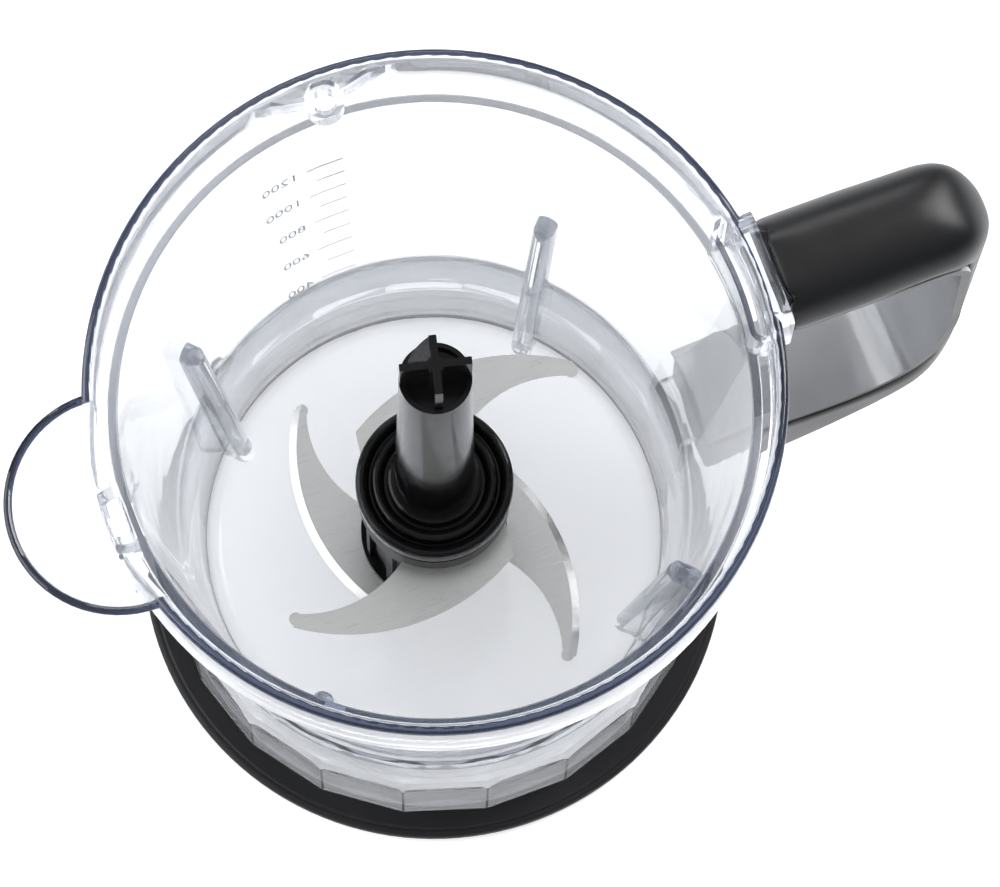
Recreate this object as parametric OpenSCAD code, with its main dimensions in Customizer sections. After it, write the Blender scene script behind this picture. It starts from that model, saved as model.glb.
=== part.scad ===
// Processing bowl of a hand-blender food processor: clear bowl with pouring
// spout, closed handle, non-slip base ring and a removable four-arm blade unit.
// Units are millimetres, +Z is up, the origin is on the bowl axis at the table.
// The handle points to +X, the spout to -X and the lid boss to +Y.

/* [Bowl] */
// Outer radius of the rim
rim_r = 76; // [74:0.5:78]
// Height of the rim above the table
bowl_h = 167; // [160:1:175]
// Thickness of the bowl wall
wall_t = 2.5; // [2:0.1:3]
// Inner radius of the collar that holds the lid
lid_r = 73.3; // [73:0.1:73.8]
// Height of the ledge that the lid stands on
ledge_z = 149.4; // [145:0.5:152]
// Inner radius of the wall at the ledge
wall_top_r = 69; // [68:0.5:70]
// Inner radius of the wall at the floor
wall_low_r = 54.6; // [54:0.2:55.4]
// Height of the bowl floor above the table
floor_z = 18.6; // [17:0.2:20]
// Radius of the corner between wall and floor
floor_fillet = 5; // [3:0.5:6]

/* [Spout] */
// Radius of the spout lip
spout_r = 24.8; // [22:0.2:26]
// Distance from the bowl axis to the centre of the lip
spout_x = 72; // [70:0.5:74]
// Depth of the spout below the rim
spout_d = 26; // [22:1:28]

/* [Base] */
// Height of the shoulder where the skirt meets the bowl wall
shoulder_z = 53.3; // [50:0.5:56]
// Corner radius of the faceted skirt
facet_r = 64.5; // [64:0.1:65]
// Outer radius of the non-slip ring
ring_r = 70.4; // [69:0.2:72]
// Height of the non-slip ring
ring_h = 4.6; // [4:0.1:5]

/* [Handle] */
// Width of the grip
grip_w = 26.4; // [24:0.4:28]
// Distance from the bowl axis to the back of the grip
grip_x = 128.6; // [126:0.2:131]

/* [Blade unit] */
// Radius of the circle that the blade tips sweep
tip_r = 45.2; // [42:0.2:46]
// Thickness of the blade plates
blade_t = 1.2; // [1:0.1:1.5]
// Height of the underside of the lower blade
low_blade_z = 22.9; // [22.9:0.1:24]
// Height of the underside of the upper blade
high_blade_z = 63.4; // [60:0.2:66]
// Height of the top of the collar above the upper blade
collar_z = 78.5; // [77:0.5:80]
// Outer radius of the collar
collar_r = 18.2; // [17.5:0.1:19]
// Height of the rim of the drive cap
cap_rim_z = 173.8; // [172:0.2:176]
// Height of the drive cross above the rim of the cap
cross_h = 12.4; // [10:0.2:13]
// Radius of the spindle pin
pin_r = 3; // [3:0.1:3.2]

/* [Hidden] */
$fn = 96;

clear_tint = [0.86, 0.9, 0.94, 0.35];
gap = 0.3;
fine = 0.05;

// Wall line
wall_k = (wall_top_r - wall_low_r) / (ledge_z - floor_z);
function wall_in(z) = wall_low_r + wall_k * (z - floor_z);
function wall_out(z) = wall_in(z) + wall_t;

// Points along an arc, angles in degrees
function arc(cx, cy, r, a0, a1, n = 12) =
    [for (i = [0 : n]) let (a = a0 + (a1 - a0) * i / n) [cx + r * cos(a), cy + r * sin(a)]];
// Points along a cubic curve with four control points
function cubic(p0, p1, p2, p3, n = 16) =
    [for (i = [0 : n]) let (t = i / n, s = 1 - t)
        s * s * s * p0 + 3 * s * s * t * p1 + 3 * s * t * t * p2 + t * t * t * p3];

// Bowl details
collar_step = 2.6;
rim_round = (rim_r - lid_r) / 2;
step_round = 1.6;
ledge_round = 0.5;
floor_t = 2.5;
floor_r = wall_low_r - floor_fillet;
boss_r = 6;
boss_top = 38;
fin_w = 5;
fin_in = 5;
fin_top = 97;
fin_round = 4.5;
fin_foot_x = floor_r - 2;
fin_slope = (wall_in(fin_top) - fin_in - fin_foot_x) / (fin_top - floor_z);
fin_angles = [45, 135, 225, 315];
eye_r = 4.4;
eye_bore = 2.6;
eye_y = 69;
eye_z = [160, 165.5];
rib_t = 1.5;
rib_l = 17;
rib_turn = 12;
spout_t = 2.2;
spout_low_r = 2;
lip = 0.95;
lip_z = bowl_h - lip - 0.3;
spout_base = bowl_h - spout_d;

// Facets of the skirt
facets = 20;
facet_turn = 9;
skirt_t = 2.2;
skirt_low = 1.9;
facet_top = 30;
ring_floor = 1.8;
ring_in = 62.5;
tier_r = 68.7;
tier_drop = 1.1;

// Handle outlines in the side plane
root_x = 78;
flange_w = 27.2;
grip_top = 167.6;
grip_round = 18;
grip_side = 12.6;
grip_end = 15;
loop_top = 154;
liner_t = 2;
liner_w = grip_w - 1.6;
grip_outline = concat(
    [[66.5, 36], [66.5, 120], [root_x, 120], [root_x, grip_top - 1], [root_x + 8, grip_top]],
    arc(grip_x - grip_round, grip_top - grip_round, grip_round, 90, 0),
    cubic([grip_x, 118], [grip_x - 0.2, 62], [116, 52], [87, 41.5]));
loop_outline = concat(
    [[50, loop_top]],
    arc(113, loop_top - 8, 8, 90, 5, 8),
    cubic([122, 108], [121.5, 72], [113, 62], [92, 62.5]),
    [[50, 66]]);
loop_inset = concat(
    [[40, loop_top - liner_t]],
    arc(112.6, loop_top - 8, 6, 90, 5, 8),
    cubic([120, 108], [119.4, 74], [112, 64.2], [92, 64.6]),
    [[40, 68.1]]);
screw_x = 84;
screw_low_z = 47;
screw_r = 1.4;
screw_clear_r = 1.8;
head_r = 2.7;
upper_lug = [loop_top + 2, loop_top + 11];
lower_lug = [shoulder_z + 1.3, shoulder_z + 7.7];
lug_w = 16;
lug_end = 88;
pocket_r = 69.2;
pocket_t = 1.3;
pocket_turn = 9;
pocket_top = 162;

// Blade unit
core_r = 9.3;
core_flat = 8.4;
shaft_tip_r = 7.9;
cap_z = 153;
cap_plug_r = 5;
cap_plug = 12;
taper_k = (core_r - shaft_tip_r) / (cap_rim_z - collar_z + 4);
function shaft_r(z) = core_r - taper_k * (z - collar_z + 4);
cross_turn = 76;
wing_t = 1.7;
bush_low = 40;
bush_low_r = 5;
bush_len = 12;
bush_high = 80;
bush_high_r = 4.5;
pin_top = 95;
pin_low = 12;
pin_play = 0.04;
arm_centre = [4.85, -24.5];
arm_r = 48.5;
hub_disc_r = 15.5;
grind_w = 1.9;
edge_t = 0.3;
foot_low = 19.6;
spacer_r = 16.6;
collar_low = 5.5;
bead_r = 1.35;
wing_reach = [[0, 6.4], [90, 7.8], [180, 6.6], [270, 7.8]];
washer_r = 5.6;

module rounded_rect(x0, y0, x1, y1, r) {
    translate([x0 + r, y0]) square([x1 - x0 - 2 * r, y1 - y0]);
    translate([x0, y0 + r]) square([x1 - x0, y1 - y0 - 2 * r]);
    for (x = [x0 + r, x1 - r])
        for (y = [y0 + r, y1 - r])
            translate([x, y]) circle(r = r);
}

module tube(r_out, r_in, z0, z1) {
    translate([0, 0, z0])
        difference() {
            cylinder(r = r_out, h = z1 - z0);
            translate([0, 0, -1]) cylinder(r = r_in, h = z1 - z0 + 2);
        }
}

// Extrudes a side outline (x, z) to a width centred on y = 0
module side_slab(width) {
    rotate([90, 0, 0]) linear_extrude(width, center = true) children();
}

module facet_prism(corner_r, z0, z1) {
    translate([0, 0, z0])
        linear_extrude(z1 - z0)
            polygon([for (i = [0 : facets - 1])
                let (a = facet_turn + 360 / facets * i)
                [corner_r * cos(a), corner_r * sin(a)]]);
}

// Everything inside the middle of the wall: what joins the wall starts there
module wall_middle() {
    half = wall_t / 2;
    rotate_extrude()
        polygon([[0, 0], [wall_in(0) + half, 0],
                 [wall_in(ledge_z - collar_step) + half, ledge_z - collar_step],
                 [lid_r + half, ledge_z - half], [lid_r + half, bowl_h + 9], [0, bowl_h + 9]]);
}

module bowl_shell() {
    step_z = ledge_z - collar_step;
    rotate_extrude()
        polygon(concat(
            [[0, floor_z - floor_t]],
            arc(floor_r, floor_z + floor_fillet, floor_fillet + floor_t, -90, -6),
            arc(wall_out(step_z) + ledge_round, step_z - ledge_round, ledge_round, 180, 90, 5),
            arc(rim_r - step_round, step_z + step_round, step_round, -90, 0, 6),
            arc(rim_r - rim_round, bowl_h - rim_round, rim_round, 0, 180, 14),
            arc(lid_r - ledge_round, ledge_z + ledge_round, ledge_round, 0, -90, 5),
            arc(wall_top_r + ledge_round, ledge_z - ledge_round, ledge_round, 90, 180, 5),
            arc(floor_r, floor_z + floor_fillet, floor_fillet, 0, -90),
            [[0, floor_z]]));
}

// Conical wall of the spout with a rounded lip
module spout_wall() {
    translate([-spout_x, 0, 0])
        rotate_extrude()
            polygon(concat(
                [[0, spout_base], [spout_low_r + spout_t, spout_base]],
                arc(spout_r - lip, lip_z, lip, -30, 180, 8),
                [[spout_low_r, spout_base + spout_t], [0, spout_base + spout_t]]));
}

module spout_inner() {
    throat_r = spout_r - 2 * lip;
    translate([-spout_x, 0, 0])
        rotate_extrude()
            polygon([[0, spout_base + spout_t], [spout_low_r, spout_base + spout_t],
                     [throat_r, lip_z], [throat_r, bowl_h + 3], [0, bowl_h + 3]]);
}

// Upright fins with a rounded nose and a domed top
module fins() {
    nose = fin_w / 2;
    crown_x = fin_foot_x + fin_slope * (fin_top - fin_round - floor_z) + fin_round;
    for (a = fin_angles)
        rotate([0, 0, a])
            intersection() {
                side_slab(fin_w)
                    polygon(concat(
                        [[wall_in(floor_z) + 1, floor_z - 1],
                         [fin_foot_x, floor_z - 1], [fin_foot_x, floor_z]],
                        arc(crown_x, fin_top - fin_round, fin_round, 180, 90, 8),
                        [[wall_in(fin_top) + 1, fin_top]]));
                translate([fin_foot_x + nose, 0, floor_z])
                    rotate([0, atan(fin_slope), 0])
                        translate([0, 0, -10])
                            linear_extrude(fin_top) {
                                circle(r = nose);
                                translate([0, -nose]) square([fin_top, fin_w]);
                            }
                rotate([90, 0, 90])
                    linear_extrude(rim_r)
                        rounded_rect(-nose, 0, nose, fin_top, nose - fine);
            }
}

// Eye for the lid's interlock pin, held to the collar by two ribs
module interlock_eye() {
    height = eye_z[1] - eye_z[0];
    translate([0, eye_y, eye_z[0]]) cylinder(r = eye_r, h = height);
    for (side = [-1, 1])
        translate([side * (eye_r - 1), eye_y + 1, eye_z[0]])
            rotate([0, 0, 90 - side * (90 - rib_turn)])
                translate([0, -rib_t / 2, 0]) cube([rib_l, rib_t, height]);
}

// Clear flange and lugs that carry the handle, above and below the finger loop
module handle_lugs() {
    translate([rim_r - 8, 0, 0]) rotate([90, 0, 90]) linear_extrude(root_x - rim_r + 8 - gap)
        rounded_rect(-flange_w / 2, ledge_z - 4, flange_w / 2, bowl_h, 3);
    for (lug = [[rim_r - 8, upper_lug], [wall_in(lower_lug[0]), lower_lug]])
        translate([lug[0], -lug_w / 2, lug[1][0]])
            cube([lug_end - lug[0], lug_w, lug[1][1] - lug[1][0]]);
}

// Arc-shaped outline along the rim with rounded ends
module rim_slot(r_in, end_r) {
    mid_r = lid_r - 0.7;
    intersection() {
        difference() {
            circle(r = rim_r - 1);
            circle(r = r_in);
        }
        polygon([[0, 0], [90, 90 * tan(pocket_turn)], [90, -90 * tan(pocket_turn)]]);
    }
    for (a = [-pocket_turn, pocket_turn])
        rotate(a) translate([mid_r, 0]) circle(r = end_r);
}

// Pocket on the ledge, inside the rim at the handle, for the catch of the lid
module latch_pocket() {
    intersection() {
        translate([0, 0, ledge_z - 1])
            linear_extrude(pocket_top - ledge_z + 1)
                difference() {
                    rim_slot(pocket_r, lid_r - 0.7 - pocket_r);
                    rim_slot(pocket_r + pocket_t, lid_r - 0.7 - pocket_r - pocket_t);
                }
        cylinder(r = lid_r + 1, h = bowl_h);
    }
}

module bowl() {
    color(clear_tint)
        difference() {
            union() {
                difference() {
                    bowl_shell();
                    intersection() {
                        spout_inner();
                        translate([-2 * rim_r, -rim_r, ledge_z]) cube([1.5 * rim_r, 2 * rim_r, rim_r]);
                    }
                }
                difference() {
                    spout_wall();
                    wall_middle();
                }
                fins();
                intersection() {
                    interlock_eye();
                    cylinder(r = lid_r + 1, h = bowl_h);
                }
                difference() {
                    handle_lugs();
                    wall_middle();
                }
                latch_pocket();
                translate([0, 0, pin_low]) cylinder(r = boss_r, h = boss_top - pin_low);
            }
            translate([0, eye_y, eye_z[0] - 1]) cylinder(r = eye_bore, h = 8);
            translate([0, 0, pin_low]) cylinder(r = pin_r, h = boss_top);
            for (lug = [upper_lug, lower_lug])
                translate([screw_x, 0, lug[0] - 1]) cylinder(r = screw_r, h = lug[1] - lug[0] + 2);
        }
}

module base_skirt() {
    top_r = wall_out(shoulder_z);
    color(clear_tint)
        difference() {
            intersection() {
                rotate_extrude()
                    polygon([[top_r - 3, shoulder_z], [top_r + 1, shoulder_z],
                             [top_r + 1.8, shoulder_z - 1.6],
                             [facet_r, facet_top],
                             [facet_r, skirt_low], [50, skirt_low], [50, shoulder_z - 8]]);
                facet_prism(facet_r, 0, 60);
            }
            rotate_extrude()
                polygon([[0, -1], [facet_r - 4, -1], [facet_r - 4, facet_top],
                         [wall_out(shoulder_z - 4), shoulder_z - 6],
                         [wall_out(shoulder_z - 4), shoulder_z - 4],
                         [wall_out(shoulder_z + 1), shoulder_z + 1], [0, shoulder_z + 1]]);
            facet_prism(facet_r - skirt_t, -1, facet_top - 2);
        }
}

module base_ring() {
    tier_z = ring_h - tier_drop;
    color([0.09, 0.09, 0.1])
        difference() {
            rotate_extrude()
                polygon(concat(
                    [[ring_in, 0], [ring_r - 1, 0], [ring_r, 1]],
                    arc(ring_r - 1.2, tier_z - 1.2, 1.2, 0, 90, 5),
                    [[tier_r, tier_z], [tier_r, ring_h - 0.5], [tier_r - 0.5, ring_h], [ring_in, ring_h]]));
            facet_prism(facet_r + gap, ring_floor, 10);
        }
}

module spindle_pin() {
    tip = 1.5;
    color("silver") {
        translate([0, 0, pin_low]) cylinder(r = pin_r, h = pin_top - pin_low - tip);
        translate([0, 0, pin_top - tip]) cylinder(r1 = pin_r, r2 = pin_r - tip, h = tip);
    }
}

module thrust_washer() {
    color("white")
        tube(washer_r, pin_r + gap, boss_top + gap, bush_low - gap);
}

module grip_body() {
    half = grip_w / 2;
    intersection() {
        side_slab(grip_w + 2) polygon(grip_outline);
        // rounded across the width
        translate([40, 0, 0]) rotate([90, 0, 90])
            linear_extrude(100)
                rounded_rect(-half, 30, half, grip_top, grip_side);
        // rounded at the back in plan
        linear_extrude(200)
            polygon(concat(
                [[40, half], [40, -half]],
                [for (a = [-90 : 10 : 90]) [grip_x - grip_end + grip_end * cos(a), half * sin(a)]]));
    }
}

module clear_of_bowl() {
    rotate_extrude()
        polygon([[0, 0], [66, 0], [66, shoulder_z + 1],
                 [wall_out(ledge_z - 6) + gap, ledge_z - 6], [rim_r + gap, ledge_z - 3],
                 [rim_r + gap, 200], [0, 200]]);
}

module handle_grip() {
    color([0.07, 0.07, 0.075])
        difference() {
            grip_body();
            side_slab(60) polygon(loop_outline);
            clear_of_bowl();
            for (lug = [upper_lug, lower_lug])
                translate([60, -lug_w / 2 - gap, lug[0] - gap])
                    cube([lug_end - 60 + gap, lug_w + 2 * gap, lug[1] - lug[0] + 2 * gap]);
            for (z = [loop_top - 3, screw_low_z - 2])
                translate([screw_x, 0, z]) cylinder(r = screw_clear_r, h = 12);
            translate([screw_x, 0, screw_low_z - 12]) cylinder(r = head_r + 0.7, h = 13.8);
        }
}

module handle_liner() {
    color([0.05, 0.05, 0.055])
        difference() {
            intersection() {
                side_slab(grip_w)
                    difference() {
                        polygon(loop_outline);
                        polygon(loop_inset);
                    }
                linear_extrude(200) rounded_rect(40, -liner_w / 2, grip_x - 2, liner_w / 2, 4);
            }
            clear_of_bowl();
            translate([0, -grip_w, ledge_z - 5]) cube([root_x, 2 * grip_w, 30]);
            translate([screw_x, 0, loop_top]) cylinder(r = screw_clear_r, h = 20, center = true);
        }
}

module screw(head_z, tip_z) {
    up = tip_z > head_z ? 1 : -1;
    length = abs(tip_z - head_z);
    translate([screw_x, 0, head_z])
        rotate([up > 0 ? 0 : 180, 0, 0])
            difference() {
                union() {
                    cylinder(r = head_r, h = 1.8);
                    cylinder(r = screw_r - fine, h = length);
                }
                translate([-1.8, -0.4, -1]) cube([3.6, 0.8, 1.8]);
                translate([-0.4, -1.8, -1]) cube([0.8, 3.6, 1.8]);
            }
}

module handle_screws() {
    color("silver") {
        screw(loop_top - liner_t - 2, loop_top + 9.5);
        screw(screw_low_z, lower_lug[1] - 0.4);
    }
}

module handle_screw_caps() {
    color([0.1, 0.1, 0.11]) {
        translate([screw_x, 0, loop_top - liner_t - 4.5]) cylinder(r = 4.2, h = 2);
        translate([screw_x, 0, screw_low_z - 4]) cylinder(r = head_r + 0.6, h = 2.4);
    }
}

module core_section() {
    intersection() {
        circle(r = core_r);
        square([2 * core_flat, 4 * core_r], center = true);
    }
}

module blade_shaft() {
    color([0.05, 0.05, 0.055])
        difference() {
            union() {
                translate([0, 0, foot_low]) linear_extrude(collar_z - 4 - foot_low) core_section();
                translate([0, 0, collar_z - 4])
                    cylinder(r1 = core_r, r2 = shaft_r(cap_z), h = cap_z - collar_z + 4);
            }
            translate([0, 0, foot_low - 1]) cylinder(r = boss_r + 0.5, h = bush_low - foot_low + 1);
            translate([0, 0, bush_low - 1]) cylinder(r = bush_low_r, h = bush_len + 1);
            translate([0, 0, bush_low]) cylinder(r = bush_high_r, h = bush_high + bush_len - bush_low);
            translate([0, 0, bush_high]) cylinder(r = pin_r + 0.6, h = bush_len + 8);
            translate([0, 0, cap_z - cap_plug - 4]) cylinder(r = cap_plug_r, h = cap_plug + 5);
        }
}

module lower_bush() {
    color("tan") tube(bush_low_r, pin_r + pin_play, bush_low, bush_low + bush_len);
}

module upper_bush() {
    color("tan") tube(bush_high_r, pin_r + pin_play, bush_high, bush_high + bush_len);
}

// Cap on the shaft with the upright cross that the drive turns
module drive_coupling() {
    floor = cap_rim_z - 2;
    top = cap_rim_z + cross_h;
    color([0.05, 0.05, 0.055]) {
        difference() {
            translate([0, 0, cap_z]) cylinder(r1 = shaft_r(cap_z), r2 = shaft_tip_r, h = cap_rim_z - cap_z);
            translate([0, 0, floor]) cylinder(r = shaft_tip_r - 1, h = 4);
        }
        translate([0, 0, cap_z - cap_plug]) cylinder(r = cap_plug_r - fine, h = cap_plug + 1);
        intersection() {
            union() {
                for (wing = wing_reach)
                    rotate([0, 0, cross_turn + wing[0]])
                        translate([0, -wing_t / 2, floor - 1]) cube([wing[1], wing_t, top - floor + 1]);
            }
            translate([0, 0, cap_z]) cylinder(r = shaft_tip_r - 0.1, h = 60);
        }
        difference() {
            translate([0, 0, floor - 1]) cylinder(r = 1.9, h = top - floor + 1);
            translate([0, 0, top - 0.6]) cylinder(r1 = 0.4, r2 = 1.2, h = 0.7);
        }
        // ramp that guides the drive onto the cross
        intersection() {
            translate([0, 0, floor - 1]) cylinder(r = shaft_tip_r - 1.2, h = 30);
            rotate([0, 0, cross_turn]) translate([0, 0, floor - 1]) cube([20, 20, 30]);
            rotate([0, 0, cross_turn]) translate([0, 0, top - 1])
                rotate([-58, 0, 0]) translate([-1, -20, -40]) cube([30, 60, 40]);
        }
    }
}

module top_collar() {
    color([0.05, 0.05, 0.055])
        difference() {
            rotate_extrude()
                polygon(concat(
                    [[core_r - 2, collar_z - collar_low], [collar_r - 1, collar_z - collar_low]],
                    [[collar_r, collar_z - collar_low + 1]],
                    arc(collar_r - bead_r, collar_z - bead_r, bead_r, 0, 180, 10),
                    [[15.1, collar_z - 2], [14.8, collar_z - 2]],
                    arc(13.2, collar_z - 0.4, 1.3, 0, 180, 8),
                    [[11.6, collar_z - 1.4], [11, collar_z - 1.4], [10.6, collar_z + 1.6]],
                    [[10, collar_z + 2], [core_r - 2, collar_z + 2]]));
            translate([0, 0, collar_z - 8]) linear_extrude(4) core_section();
            translate([0, 0, collar_z - 4])
                cylinder(r1 = core_r, r2 = shaft_r(collar_z + 4), h = 8);
        }
}

module keyed_ring(r_out, z0, z1) {
    translate([0, 0, z0])
        linear_extrude(z1 - z0)
            difference() {
                circle(r = r_out);
                core_section();
            }
}

module collar_seal() {
    color([0.12, 0.12, 0.13]) keyed_ring(collar_r - 0.8, collar_z - 7.5, collar_z - 5.5);
}

module lower_collar() {
    color([0.06, 0.06, 0.065]) keyed_ring(collar_r - 0.4, high_blade_z + blade_t, collar_z - 7.5);
}

// One arm with its tip on +X: two arcs and a rounded end
module blade_arm() {
    end = [tip_r - 1.62, 1.05];
    difference() {
        intersection() {
            translate(arm_centre) circle(r = arm_r);
            polygon([[0, 0], [-9, 14], [-4, 23.2], [-4, 40], [52, 40], end + [5, 3.35],
                     end - [5, 3.35], [30, -2.2]]);
        }
        translate([23.6, -19.1]) circle(r = 27.2);
    }
    translate(end) circle(r = 1.56);
}

// Space inside the ground edge: the convex side slopes to a thin cutting edge
module ground_space(edge_up) {
    slope_h = blade_t - edge_t + fine;
    translate([arm_centre[0], arm_centre[1], edge_up ? edge_t : -fine])
        cylinder(r1 = edge_up ? arm_r : arm_r - grind_w, r2 = edge_up ? arm_r - grind_w : arm_r, h = slope_h);
    translate([arm_centre[0], arm_centre[1], edge_up ? -1 : blade_t - edge_t])
        cylinder(r = arm_r, h = edge_t + 1);
}

// Plate with two arms, ground on its upper or its lower side
module blade_plate(turn, z, edge_up) {
    color("gainsboro")
        translate([0, 0, z])
            difference() {
                union() {
                    cylinder(r = hub_disc_r, h = blade_t);
                    for (a = [turn, turn + 180])
                        rotate([0, 0, a])
                            intersection() {
                                linear_extrude(blade_t) blade_arm();
                                ground_space(edge_up);
                            }
                }
                translate([0, 0, -1]) linear_extrude(blade_t + 2) core_section();
            }
}

module upper_blade() {
    blade_plate(21, high_blade_z, false);
}

module lower_blade() {
    blade_plate(115, low_blade_z, true);
}

module hub_spacer() {
    z0 = low_blade_z + blade_t;
    height = high_blade_z - z0;
    band = 3;
    color([0.06, 0.06, 0.065]) {
        keyed_ring(spacer_r - 1.5, z0, high_blade_z);
        for (z = [z0, high_blade_z - band])
            keyed_ring(spacer_r + 0.8, z, z + band);
        for (i = [0 : 11])
            rotate([0, 0, 30 * i])
                translate([spacer_r - 3, -1, z0]) cube([3, 2, height]);
    }
}

module hub_foot() {
    color([0.06, 0.06, 0.065]) keyed_ring(15.8, foot_low, low_blade_z);
}

bowl();
base_skirt();
base_ring();
spindle_pin();
thrust_washer();
handle_grip();
handle_liner();
handle_screws();
handle_screw_caps();
blade_shaft();
lower_bush();
upper_bush();
drive_coupling();
top_collar();
collar_seal();
lower_collar();
upper_blade();
hub_spacer();
lower_blade();
hub_foot();
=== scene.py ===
"""Looks of the clear processing bowl with its blade unit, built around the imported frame."""
import math

import bmesh
import bpy
from mathutils import Matrix, Vector


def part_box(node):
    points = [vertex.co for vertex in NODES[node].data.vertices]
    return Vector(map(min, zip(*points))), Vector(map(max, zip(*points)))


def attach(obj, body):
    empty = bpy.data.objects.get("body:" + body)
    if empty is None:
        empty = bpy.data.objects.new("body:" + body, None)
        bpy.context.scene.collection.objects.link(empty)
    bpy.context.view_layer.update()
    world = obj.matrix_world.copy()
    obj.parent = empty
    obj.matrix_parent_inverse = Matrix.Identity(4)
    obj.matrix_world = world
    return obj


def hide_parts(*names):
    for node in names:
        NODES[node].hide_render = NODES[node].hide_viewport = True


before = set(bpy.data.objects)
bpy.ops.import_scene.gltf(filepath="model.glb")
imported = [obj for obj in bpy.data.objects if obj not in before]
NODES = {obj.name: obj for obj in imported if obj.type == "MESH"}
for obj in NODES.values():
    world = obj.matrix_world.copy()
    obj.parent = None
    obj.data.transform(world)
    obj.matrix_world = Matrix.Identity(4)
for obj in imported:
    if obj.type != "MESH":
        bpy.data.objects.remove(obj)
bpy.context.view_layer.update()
MM = 0.001

# Camera, measured from the centre of the rim, angles in degrees
RIM_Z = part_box("bowl")[1].z
CAMERA_DISTANCE = 16 * 76 * MM
CAMERA_AZIMUTH = -21
CAMERA_ELEVATION = 75.91
CAMERA_ROLL = 0.56
AIM_RIGHT = 0.6585
AIM_UP = -0.5733
LENS = 204.15

# Rounded top of the rim and of the spout lip, where the light inside the wall leaves it; painted
# shade: these faces get a darker blue-grey clear material
EDGE_DEPTH = 1.7 * MM
EDGE_FROM = 74.2 * MM
RIM_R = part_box("bowl")[1].y
FLANGE_PROUD = 0.1 * MM

# Corners of a CAD mesh closer than this are one corner
WELD = 0.002 * MM

# Handle grip: size of the remesh, rounds of relaxing, and the end that is relaxed further
GRIP_VOXEL = 0.9 * MM
GRIP_ROUNDS = 24
GRIP_END_ROUNDS = 140
GRIP_END_FAR = (34 * MM, 16 * MM)
GRIP_END_TOP = (16 * MM, 6 * MM)
GRIP_STRETCH = 40 * MM

# A face of the handle's inner strip that turns sideways by more than this is its rim
SIDEWAYS = 0.7


# ---------------------------------------------------------------- materials
def new_material(name):
    material = bpy.data.materials.new(name)
    material.use_nodes = True
    tree = material.node_tree
    return material, tree, tree.nodes["Principled BSDF"]


def link(tree, source, target):
    tree.links.new(source, target)


def noise(tree, scale, detail=4, stretch=(1, 1, 1), turn=0):
    """Noise in object space; stretch scales the coordinates along each axis."""
    place = tree.nodes.new("ShaderNodeTexCoord")
    mapping = tree.nodes.new("ShaderNodeMapping")
    mapping.inputs["Rotation"].default_value = (0, 0, math.radians(turn))
    mapping.inputs["Scale"].default_value = stretch
    link(tree, place.outputs["Object"], mapping.inputs["Vector"])
    node = tree.nodes.new("ShaderNodeTexNoise")
    node.inputs["Scale"].default_value = scale
    node.inputs["Detail"].default_value = detail
    link(tree, mapping.outputs["Vector"], node.inputs["Vector"])
    return node.outputs["Fac"]


def ramp(tree, fac, low, high, start=0.3, end=0.7):
    """Colour or grey value that runs from low to high with fac."""
    node = tree.nodes.new("ShaderNodeValToRGB")
    for stop, place, value in zip(node.color_ramp.elements, (start, end), (low, high)):
        stop.position = place
        stop.color = (*value, 1) if isinstance(value, tuple) else (value, value, value, 1)
    link(tree, fac, node.inputs["Fac"])
    return node.outputs["Color"]


def bump(tree, shader, height, strength, distance):
    node = tree.nodes.new("ShaderNodeBump")
    node.inputs["Strength"].default_value = strength
    node.inputs["Distance"].default_value = distance
    link(tree, height, node.inputs["Height"])
    link(tree, node.outputs["Normal"], shader.inputs["Normal"])


def clear_plastic(name, low, high, through):
    """Moulded clear plastic: slightly wavy, and bluer the longer the way through it."""
    material, tree, shader = new_material(name)
    output = tree.nodes["Material Output"]
    clear = tree.nodes.new("ShaderNodeBsdfTransparent")
    clear.inputs["Color"].default_value = (0.97, 0.98, 1, 1)
    mix = tree.nodes.new("ShaderNodeMixShader")
    mix.inputs["Fac"].default_value = through
    link(tree, shader.outputs["BSDF"], mix.inputs[1])
    link(tree, clear.outputs["BSDF"], mix.inputs[2])
    link(tree, mix.outputs["Shader"], output.inputs["Surface"])
    tint = tree.nodes.new("ShaderNodeVolumeAbsorption")
    tint.inputs["Color"].default_value = (0.35, 0.42, 0.6, 1)
    tint.inputs["Density"].default_value = 14
    link(tree, tint.outputs["Volume"], output.inputs["Volume"])
    shader.inputs["Transmission Weight"].default_value = 1
    shader.inputs["IOR"].default_value = 1.5
    link(tree, ramp(tree, noise(tree, 14), low, high), shader.inputs["Base Color"])
    link(tree, ramp(tree, noise(tree, 60), 0.0, 0.025), shader.inputs["Roughness"])
    bump(tree, shader, noise(tree, 24, 2), 0.05, 0.002)
    return material


def plastic(name, low, high, rough, ior, grain, strength):
    """Spark-eroded or polished plastic: a fine grain over a slightly uneven colour."""
    material, tree, shader = new_material(name)
    shader.inputs["IOR"].default_value = ior
    link(tree, ramp(tree, noise(tree, 30), low, high), shader.inputs["Base Color"])
    link(tree, ramp(tree, noise(tree, 90), *rough), shader.inputs["Roughness"])
    bump(tree, shader, noise(tree, grain, 2), strength, 0.0002)
    return material


def brushed_steel(name, turn, low, high, rough):
    """Steel with fine straight grinding marks at an angle about Z."""
    material, tree, shader = new_material(name)
    shader.inputs["Metallic"].default_value = 1
    marks = noise(tree, 3, 5, (60, 2200, 60), turn)
    link(tree, ramp(tree, marks, low, high), shader.inputs["Base Color"])
    link(tree, ramp(tree, marks, *rough), shader.inputs["Roughness"])
    bump(tree, shader, marks, 0.04, 0.0001)
    return material


CLEAR = clear_plastic("clear_san", (0.95, 0.957, 0.965), (0.975, 0.98, 0.985), 0.12)
# Darker blue-grey clear for the rounded rim top and spout lip: painted shade, standing in for the
# dim surroundings the rounded edge refracts
EDGE_PAINTED_SHADE = clear_plastic("clear_san_edge_painted_shade", (0.34, 0.38, 0.47), (0.42, 0.46, 0.55), 0.05)
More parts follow.
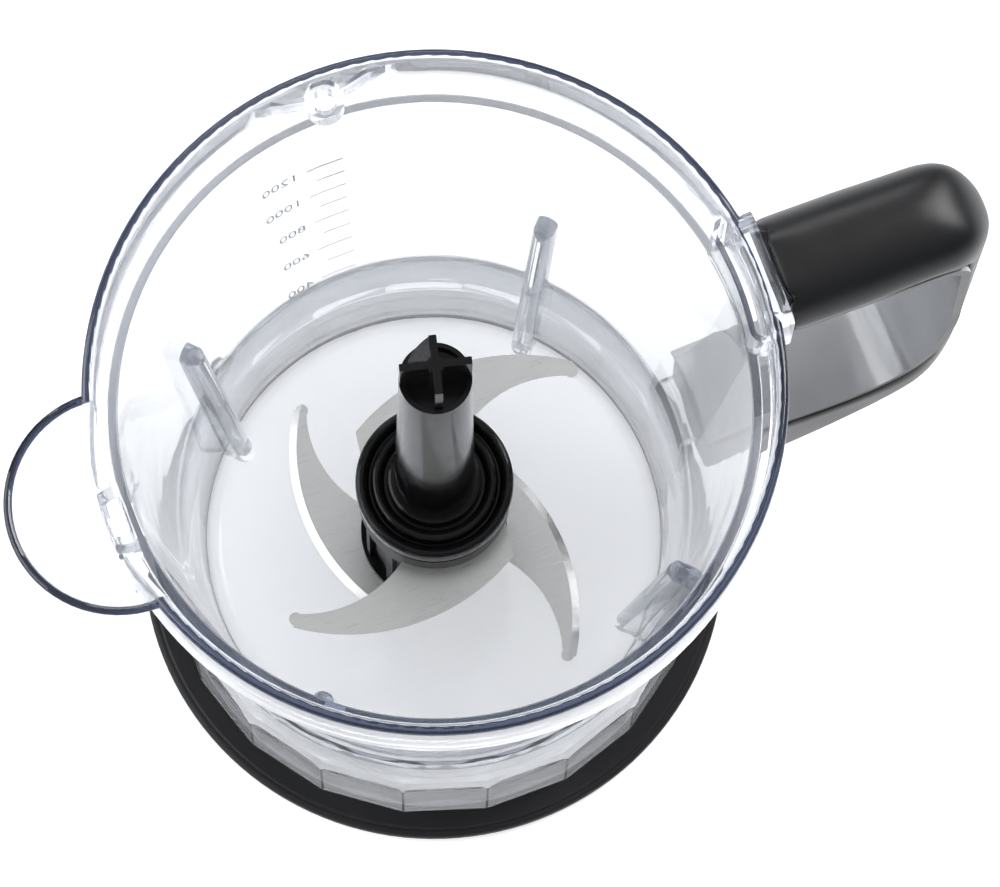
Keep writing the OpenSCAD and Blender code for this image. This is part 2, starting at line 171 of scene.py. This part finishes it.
# name, darkest and lightest colour, range of roughness, IOR, grain's scale, grain's strength
GRIP = plastic(
    "grip_satin", (0.005, 0.005, 0.0055), (0.008, 0.008, 0.0085), (0.34, 0.4), 1.4, 3200, 0.1)
GLOSS = plastic(
    "hub_gloss", (0.003, 0.003, 0.0035), (0.006, 0.006, 0.0065), (0.1, 0.17), 1.3, 700, 0.03)
HUB = plastic(
    "hub_matt", (0.003, 0.003, 0.0035), (0.006, 0.006, 0.0065), (0.3, 0.38), 1.22, 1500, 0.08)
# Light grey base colour of the glossy dark liner: painted reflection of the bright surroundings
LINER_PAINTED_REFLECTION = plastic(
    "liner_gloss_painted_reflection", (0.25, 0.255, 0.265), (0.31, 0.315, 0.325), (0.12, 0.2), 2.0, 500, 0.05)
RUBBER = plastic(
    "ring_rubber", (0.007, 0.007, 0.0078), (0.011, 0.011, 0.012), (0.5, 0.62), 1.35, 2600, 0.15)
BUSH = plastic("bush_acetal", (0.55, 0.5, 0.4), (0.62, 0.57, 0.47), (0.4, 0.5), 1.48, 900, 0.1)
STEEL = brushed_steel(
    "blade_brushed", 25, (0.68, 0.675, 0.66), (0.74, 0.735, 0.72), (0.27, 0.36))
PIN = brushed_steel("pin_ground", 90, (0.6, 0.6, 0.6), (0.72, 0.72, 0.72), (0.2, 0.3))
INK = plastic("mark_ink", (0.6, 0.61, 0.63), (0.68, 0.69, 0.71), (0.5, 0.6), 1.4, 4000, 0.05)

NODE_MATERIALS = {
    CLEAR: ["bowl", "base_skirt"],
    GRIP: ["handle_grip", "handle_screw_caps"],
    LINER_PAINTED_REFLECTION: ["handle_liner"],
    GLOSS: ["blade_shaft", "drive_coupling", "top_collar"],
    HUB: ["lower_collar", "hub_spacer", "hub_foot"],
    RUBBER: ["base_ring", "collar_seal"],
    BUSH: ["lower_bush", "upper_bush", "thrust_washer"],
    STEEL: ["upper_blade", "lower_blade"],
    PIN: ["spindle_pin", "handle_screws"],
}
for material, names in NODE_MATERIALS.items():
    for name in names:
        for slot in NODES[name].material_slots:
            slot.material = material


# ----------------------------------------------------------- smoother pieces
def link_piece(name, mesh, body, replaced=None):
    piece = bpy.data.objects.new(name, mesh)
    bpy.context.scene.collection.objects.link(piece)
    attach(piece, body)
    if replaced:
        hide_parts(replaced)
    return piece


def welded_copy(node):
    """Closed copy of a CAD mesh in world coordinates; each face remembers the one it came from."""
    source = NODES[node]
    form = bmesh.new()
    form.from_mesh(source.data)
    origin = form.faces.layers.int.new("origin")
    for index, face in enumerate(form.faces):
        face[origin] = index
    form.transform(source.matrix_world)
    bmesh.ops.remove_doubles(form, verts=form.verts, dist=WELD)
    mesh = bpy.data.meshes.new(node + "_look")
    form.to_mesh(mesh)
    form.free()
    for slot in source.material_slots:
        mesh.materials.append(slot.material)
    return mesh


def cad_normals(mesh, node):
    """The CAD surface's own normal at every corner of the welded copy."""
    source = NODES[node]
    turn = source.matrix_world.to_3x3().normalized()
    origin = mesh.attributes["origin"].data
    normals = [None] * len(mesh.loops)
    for face in mesh.polygons:
        old = source.data.polygons[origin[face.index].value]
        corners = [
            (source.matrix_world @ source.data.vertices[source.data.loops[i].vertex_index].co, i)
            for i in old.loop_indices
        ]
        for i in face.loop_indices:
            place = mesh.vertices[mesh.loops[i].vertex_index].co
            near = min(corners, key=lambda corner: (corner[0] - place).length_squared)[1]
            normals[i] = turn @ source.data.corner_normals[near].vector
    return normals


def polished(node, body, degrees=20):
    """The node's own shape, with normals that flow over steps smaller than degrees."""
    mesh = welded_copy(node)
    normals = cad_normals(mesh, node)
    mesh.attributes.remove(mesh.attributes["origin"])
    around = {}
    for loop, normal in zip(mesh.loops, normals):
        around.setdefault(loop.vertex_index, []).append(normal)
    limit = math.cos(math.radians(degrees))
    flowing = []
    for loop, normal in zip(mesh.loops, normals):
        alike = [other for other in around[loop.vertex_index] if other.dot(normal) > limit]
        flowing.append(sum(alike, Vector()).normalized() if alike else normal)
    mesh.shade_smooth()
    mesh.normals_split_custom_set(flowing)
    return link_piece(node + "_look", mesh, body, node)


def apply_modifiers(piece):
    graph = bpy.context.evaluated_depsgraph_get()
    mesh = bpy.data.meshes.new_from_object(piece.evaluated_get(graph))
    piece.modifiers.clear()
    piece.data = mesh
    return mesh


def ease(value, low, high):
    """0 below low, 1 above high, and a smooth step between."""
    part = min(max((value - low) / (high - low), 0), 1)
    return part * part * (3 - 2 * part)


def relax(piece, rounds, group=""):
    modifier = piece.modifiers.new("relax", "SMOOTH")
    modifier.factor = 0.5
    modifier.iterations = rounds
    modifier.vertex_group = group


def softened_grip(node, body):
    """The grip remeshed and relaxed, more at its far top end, so that its edges flow together."""
    piece = link_piece(node + "_look", welded_copy(node), body, node)
    remesh = piece.modifiers.new("remesh", "REMESH")
    remesh.mode = "VOXEL"
    remesh.voxel_size = GRIP_VOXEL
    relax(piece, GRIP_ROUNDS)
    mesh = apply_modifiers(piece)
    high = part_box(node)[1]
    end = piece.vertex_groups.new(name="end")
    for vertex in mesh.vertices:
        far = ease(vertex.co.x, *(high.x - inset for inset in GRIP_END_FAR))
        top = ease(vertex.co.z, *(high.z - inset for inset in GRIP_END_TOP))
        end.add([vertex.index], far * top, "REPLACE")
    relax(piece, GRIP_END_ROUNDS, end.name)
    mesh = apply_modifiers(piece)
    # Relaxing shortens the end, so it is drawn back out to the length of the CAD grip
    reach = max(vertex.co.x for vertex in mesh.vertices)
    for vertex in mesh.vertices:
        vertex.co.x += (high.x - reach) * ease(vertex.co.x, high.x - GRIP_STRETCH, reach)
    mesh.shade_smooth()


bowl = polished("bowl", "bowl_unit")
# Faces along the rounded rim top and spout lip take the darker clear material, painted shade
bowl.data.materials.append(EDGE_PAINTED_SHADE)
for face in bowl.data.polygons:
    out = math.hypot(face.center.x, face.center.y)
    on_flange = any(bowl.data.vertices[i].co.x > RIM_R + FLANGE_PROUD for i in face.vertices)
    if face.center.z > RIM_Z - EDGE_DEPTH and out > EDGE_FROM and not on_flange:
        face.material_index = 1
polished("base_skirt", "bowl_unit", 10)
polished("base_ring", "ring")
for hub_node in ("drive_coupling", "top_collar"):
    polished(hub_node, "blade_unit")
softened_grip("handle_grip", "bowl_unit")
liner = polished("handle_liner", "bowl_unit")
liner.data.materials.append(GRIP)
for face in liner.data.polygons:
    if abs(face.normal.y) > SIDEWAYS:
        face.material_index = 1


# -------------------------------------------------------------- volume marks
# Inside of the bowl's cone wall, the same as in the CAD: radius and height at floor and ledge
WALL_LOW_R, WALL_HIGH_R = 54.6 * MM, 69 * MM
FLOOR_Z, LEDGE_Z = 18.6 * MM, 149.4 * MM
WALL_SLOPE = (WALL_HIGH_R - WALL_LOW_R) / (LEDGE_Z - FLOOR_Z)
WALL_T = 2.5 * MM

MARK_START = math.radians(87.5)
MARK_T = 0.08 * MM
MARK_STEPS = 6
MARK_THICK = 0.42 * MM
MARK_LONG, MARK_SHORT = 9 * MM, 7 * MM
MARK_VOLUMES = range(400, 1300, 100)
NUMBER_EVERY = 200
NUMBER_START = 11 * MM
NUMBER_SIZE = 5 * MM


def fill_height(litres):
    """Height of the surface when the tapering bowl holds this much."""
    top_r = (WALL_LOW_R**3 + 3 * WALL_SLOPE * litres * MM / math.pi) ** (1 / 3)
    return FLOOR_Z + (top_r - WALL_LOW_R) / WALL_SLOPE


def on_wall(across, z, out):
    """Point on the outside of the wall, across running away from the mark's start."""
    radius = WALL_LOW_R + WALL_SLOPE * (z - FLOOR_Z) + WALL_T + out
    angle = MARK_START + across / radius
    return Vector((radius * math.cos(angle), radius * math.sin(angle), z))


def mark_line(form, z, length, thick):
    low, high = z - thick / 2, z + thick / 2
    corners = [(low, 0), (high, 0), (high, MARK_T), (low, MARK_T)]
    grid = []
    for i in range(MARK_STEPS + 1):
        x = length * i / MARK_STEPS
        grid.append([form.verts.new(on_wall(x, level, out)) for level, out in corners])
    for near, far in zip(grid, grid[1:]):
        for k in range(4):
            form.faces.new((near[k], near[(k + 1) % 4], far[(k + 1) % 4], far[k]))
    form.faces.new(grid[0][::-1])
    form.faces.new(grid[-1])


def mark_number(form, number, z, start, size):
    curve = bpy.data.curves.new("number", "FONT")
    curve.body = str(number)
    curve.size = size
    curve.extrude = MARK_T / 2
    curve.resolution_u = 3
    text = bpy.data.objects.new("number", curve)
    bpy.context.scene.collection.objects.link(text)
    graph = bpy.context.evaluated_depsgraph_get()
    flat = bpy.data.meshes.new_from_object(text.evaluated_get(graph))
    bpy.data.objects.remove(text)
    middle = (max(v.co.y for v in flat.vertices) + min(v.co.y for v in flat.vertices)) / 2
    for vertex in flat.vertices:
        x, y, depth = vertex.co
        vertex.co = on_wall(start + x, z + y - middle, depth + MARK_T / 2)
    form.from_mesh(flat)
    bpy.data.meshes.remove(flat)


marks = bmesh.new()
for volume in MARK_VOLUMES:
    height = fill_height(volume / 1000)
    numbered = volume % NUMBER_EVERY == 0
    mark_line(marks, height, MARK_LONG if numbered else MARK_SHORT, MARK_THICK)
    if numbered:
        mark_number(marks, volume, height, NUMBER_START, NUMBER_SIZE)
bmesh.ops.remove_doubles(marks, verts=marks.verts, dist=0.0005 * MM)
bmesh.ops.recalc_face_normals(marks, faces=marks.faces)
mark_mesh = bpy.data.meshes.new("scale_marks")
marks.to_mesh(mark_mesh)
marks.free()
mark_mesh.materials.append(INK)
link_piece("scale_marks", mark_mesh, "bowl_unit")


# ------------------------------------------------------------------- stage
FLOOR_HALF = 4.0
FLOOR_GAP = 0.4 * MM
mesh = bpy.data.meshes.new("floor")
form = bmesh.new()
bmesh.ops.create_grid(form, x_segments=1, y_segments=1, size=FLOOR_HALF)
form.to_mesh(mesh)
form.free()
floor = bpy.data.objects.new("floor", mesh)
floor.location.z = -FLOOR_GAP
bpy.context.scene.collection.objects.link(floor)
floor_material, tree, shader = new_material("pale_floor")
place = tree.nodes.new("ShaderNodeTexCoord")
spread = tree.nodes.new("ShaderNodeVectorMath")
spread.operation = "LENGTH"
link(tree, place.outputs["Object"], spread.inputs[0])
glow = ramp(tree, spread.outputs["Value"], (0.5, 0.5, 0.5), (0.05, 0.055, 0.065), 0.22, 0.6)
link(tree, glow, shader.inputs["Emission Color"])
shader.inputs["Emission Strength"].default_value = 1
shader.inputs["Base Color"].default_value = (0.8, 0.805, 0.815, 1)
shader.inputs["Roughness"].default_value = 0.9
mesh.materials.append(floor_material)

SOFTBOX_TARGET = Vector((0.04, 0, 0.1))


def softbox(name, place, size, radiance):
    """Area light whose brightness is given as seen, not as total power."""
    data = bpy.data.lights.new(name, "AREA")
    data.shape = "RECTANGLE"
    data.size, data.size_y = size
    data.energy = radiance * math.pi * size[0] * size[1]
    lamp = bpy.data.objects.new(name, data)
    lamp.location = place
    facing = SOFTBOX_TARGET - Vector(place)
    lamp.rotation_euler = facing.to_track_quat("-Z", "Y").to_euler()
    bpy.context.scene.collection.objects.link(lamp)


softbox("softbox_right", (1.0, 0.2, 0.95), (0.6, 0.7), 10)
softbox("softbox_left", (-1.2, 0.35, 0.74), (1.4, 1.35), 3.4)
softbox("softbox_back", (0.1, 1.3, 0.9), (1.0, 0.5), 4)

world = bpy.data.worlds.new("studio")
world.use_nodes = True
tree = world.node_tree
place = tree.nodes.new("ShaderNodeTexCoord")
split = tree.nodes.new("ShaderNodeSeparateXYZ")
link(tree, place.outputs["Generated"], split.inputs["Vector"])
sky = ramp(tree, split.outputs["Z"], (0.1, 0.12, 0.16), (0.66, 0.67, 0.69), 0.1, 0.8)
link(tree, sky, tree.nodes["Background"].inputs["Color"])
tree.nodes["Background"].inputs["Strength"].default_value = 1
bpy.context.scene.world = world
bpy.context.scene.view_settings.view_transform = "Standard"

# ------------------------------------------------------------------ camera
azimuth, elevation = math.radians(CAMERA_AZIMUTH), math.radians(CAMERA_ELEVATION)
level = math.cos(elevation)
back = Vector((math.sin(azimuth) * level, -math.cos(azimuth) * level, math.sin(elevation)))
right = Vector((math.cos(azimuth), math.sin(azimuth), 0))
up = back.cross(right)
look = -back + right * math.tan(math.radians(AIM_RIGHT)) + up * math.tan(math.radians(AIM_UP))
look.normalize()
side = look.cross(up).normalized()
turn = Matrix((side, side.cross(look), -look)).transposed()
camera_data = bpy.data.cameras.new("camera")
camera_data.lens = LENS
camera_data.clip_end = 50
camera = bpy.data.objects.new("camera", camera_data)
camera.matrix_world = (
    Matrix.Translation(Vector((0, 0, RIM_Z)) + back * CAMERA_DISTANCE)
    @ turn.to_4x4()
    @ Matrix.Rotation(math.radians(CAMERA_ROLL), 4, "Z")
)
bpy.context.scene.collection.objects.link(camera)
bpy.context.scene.camera = camera
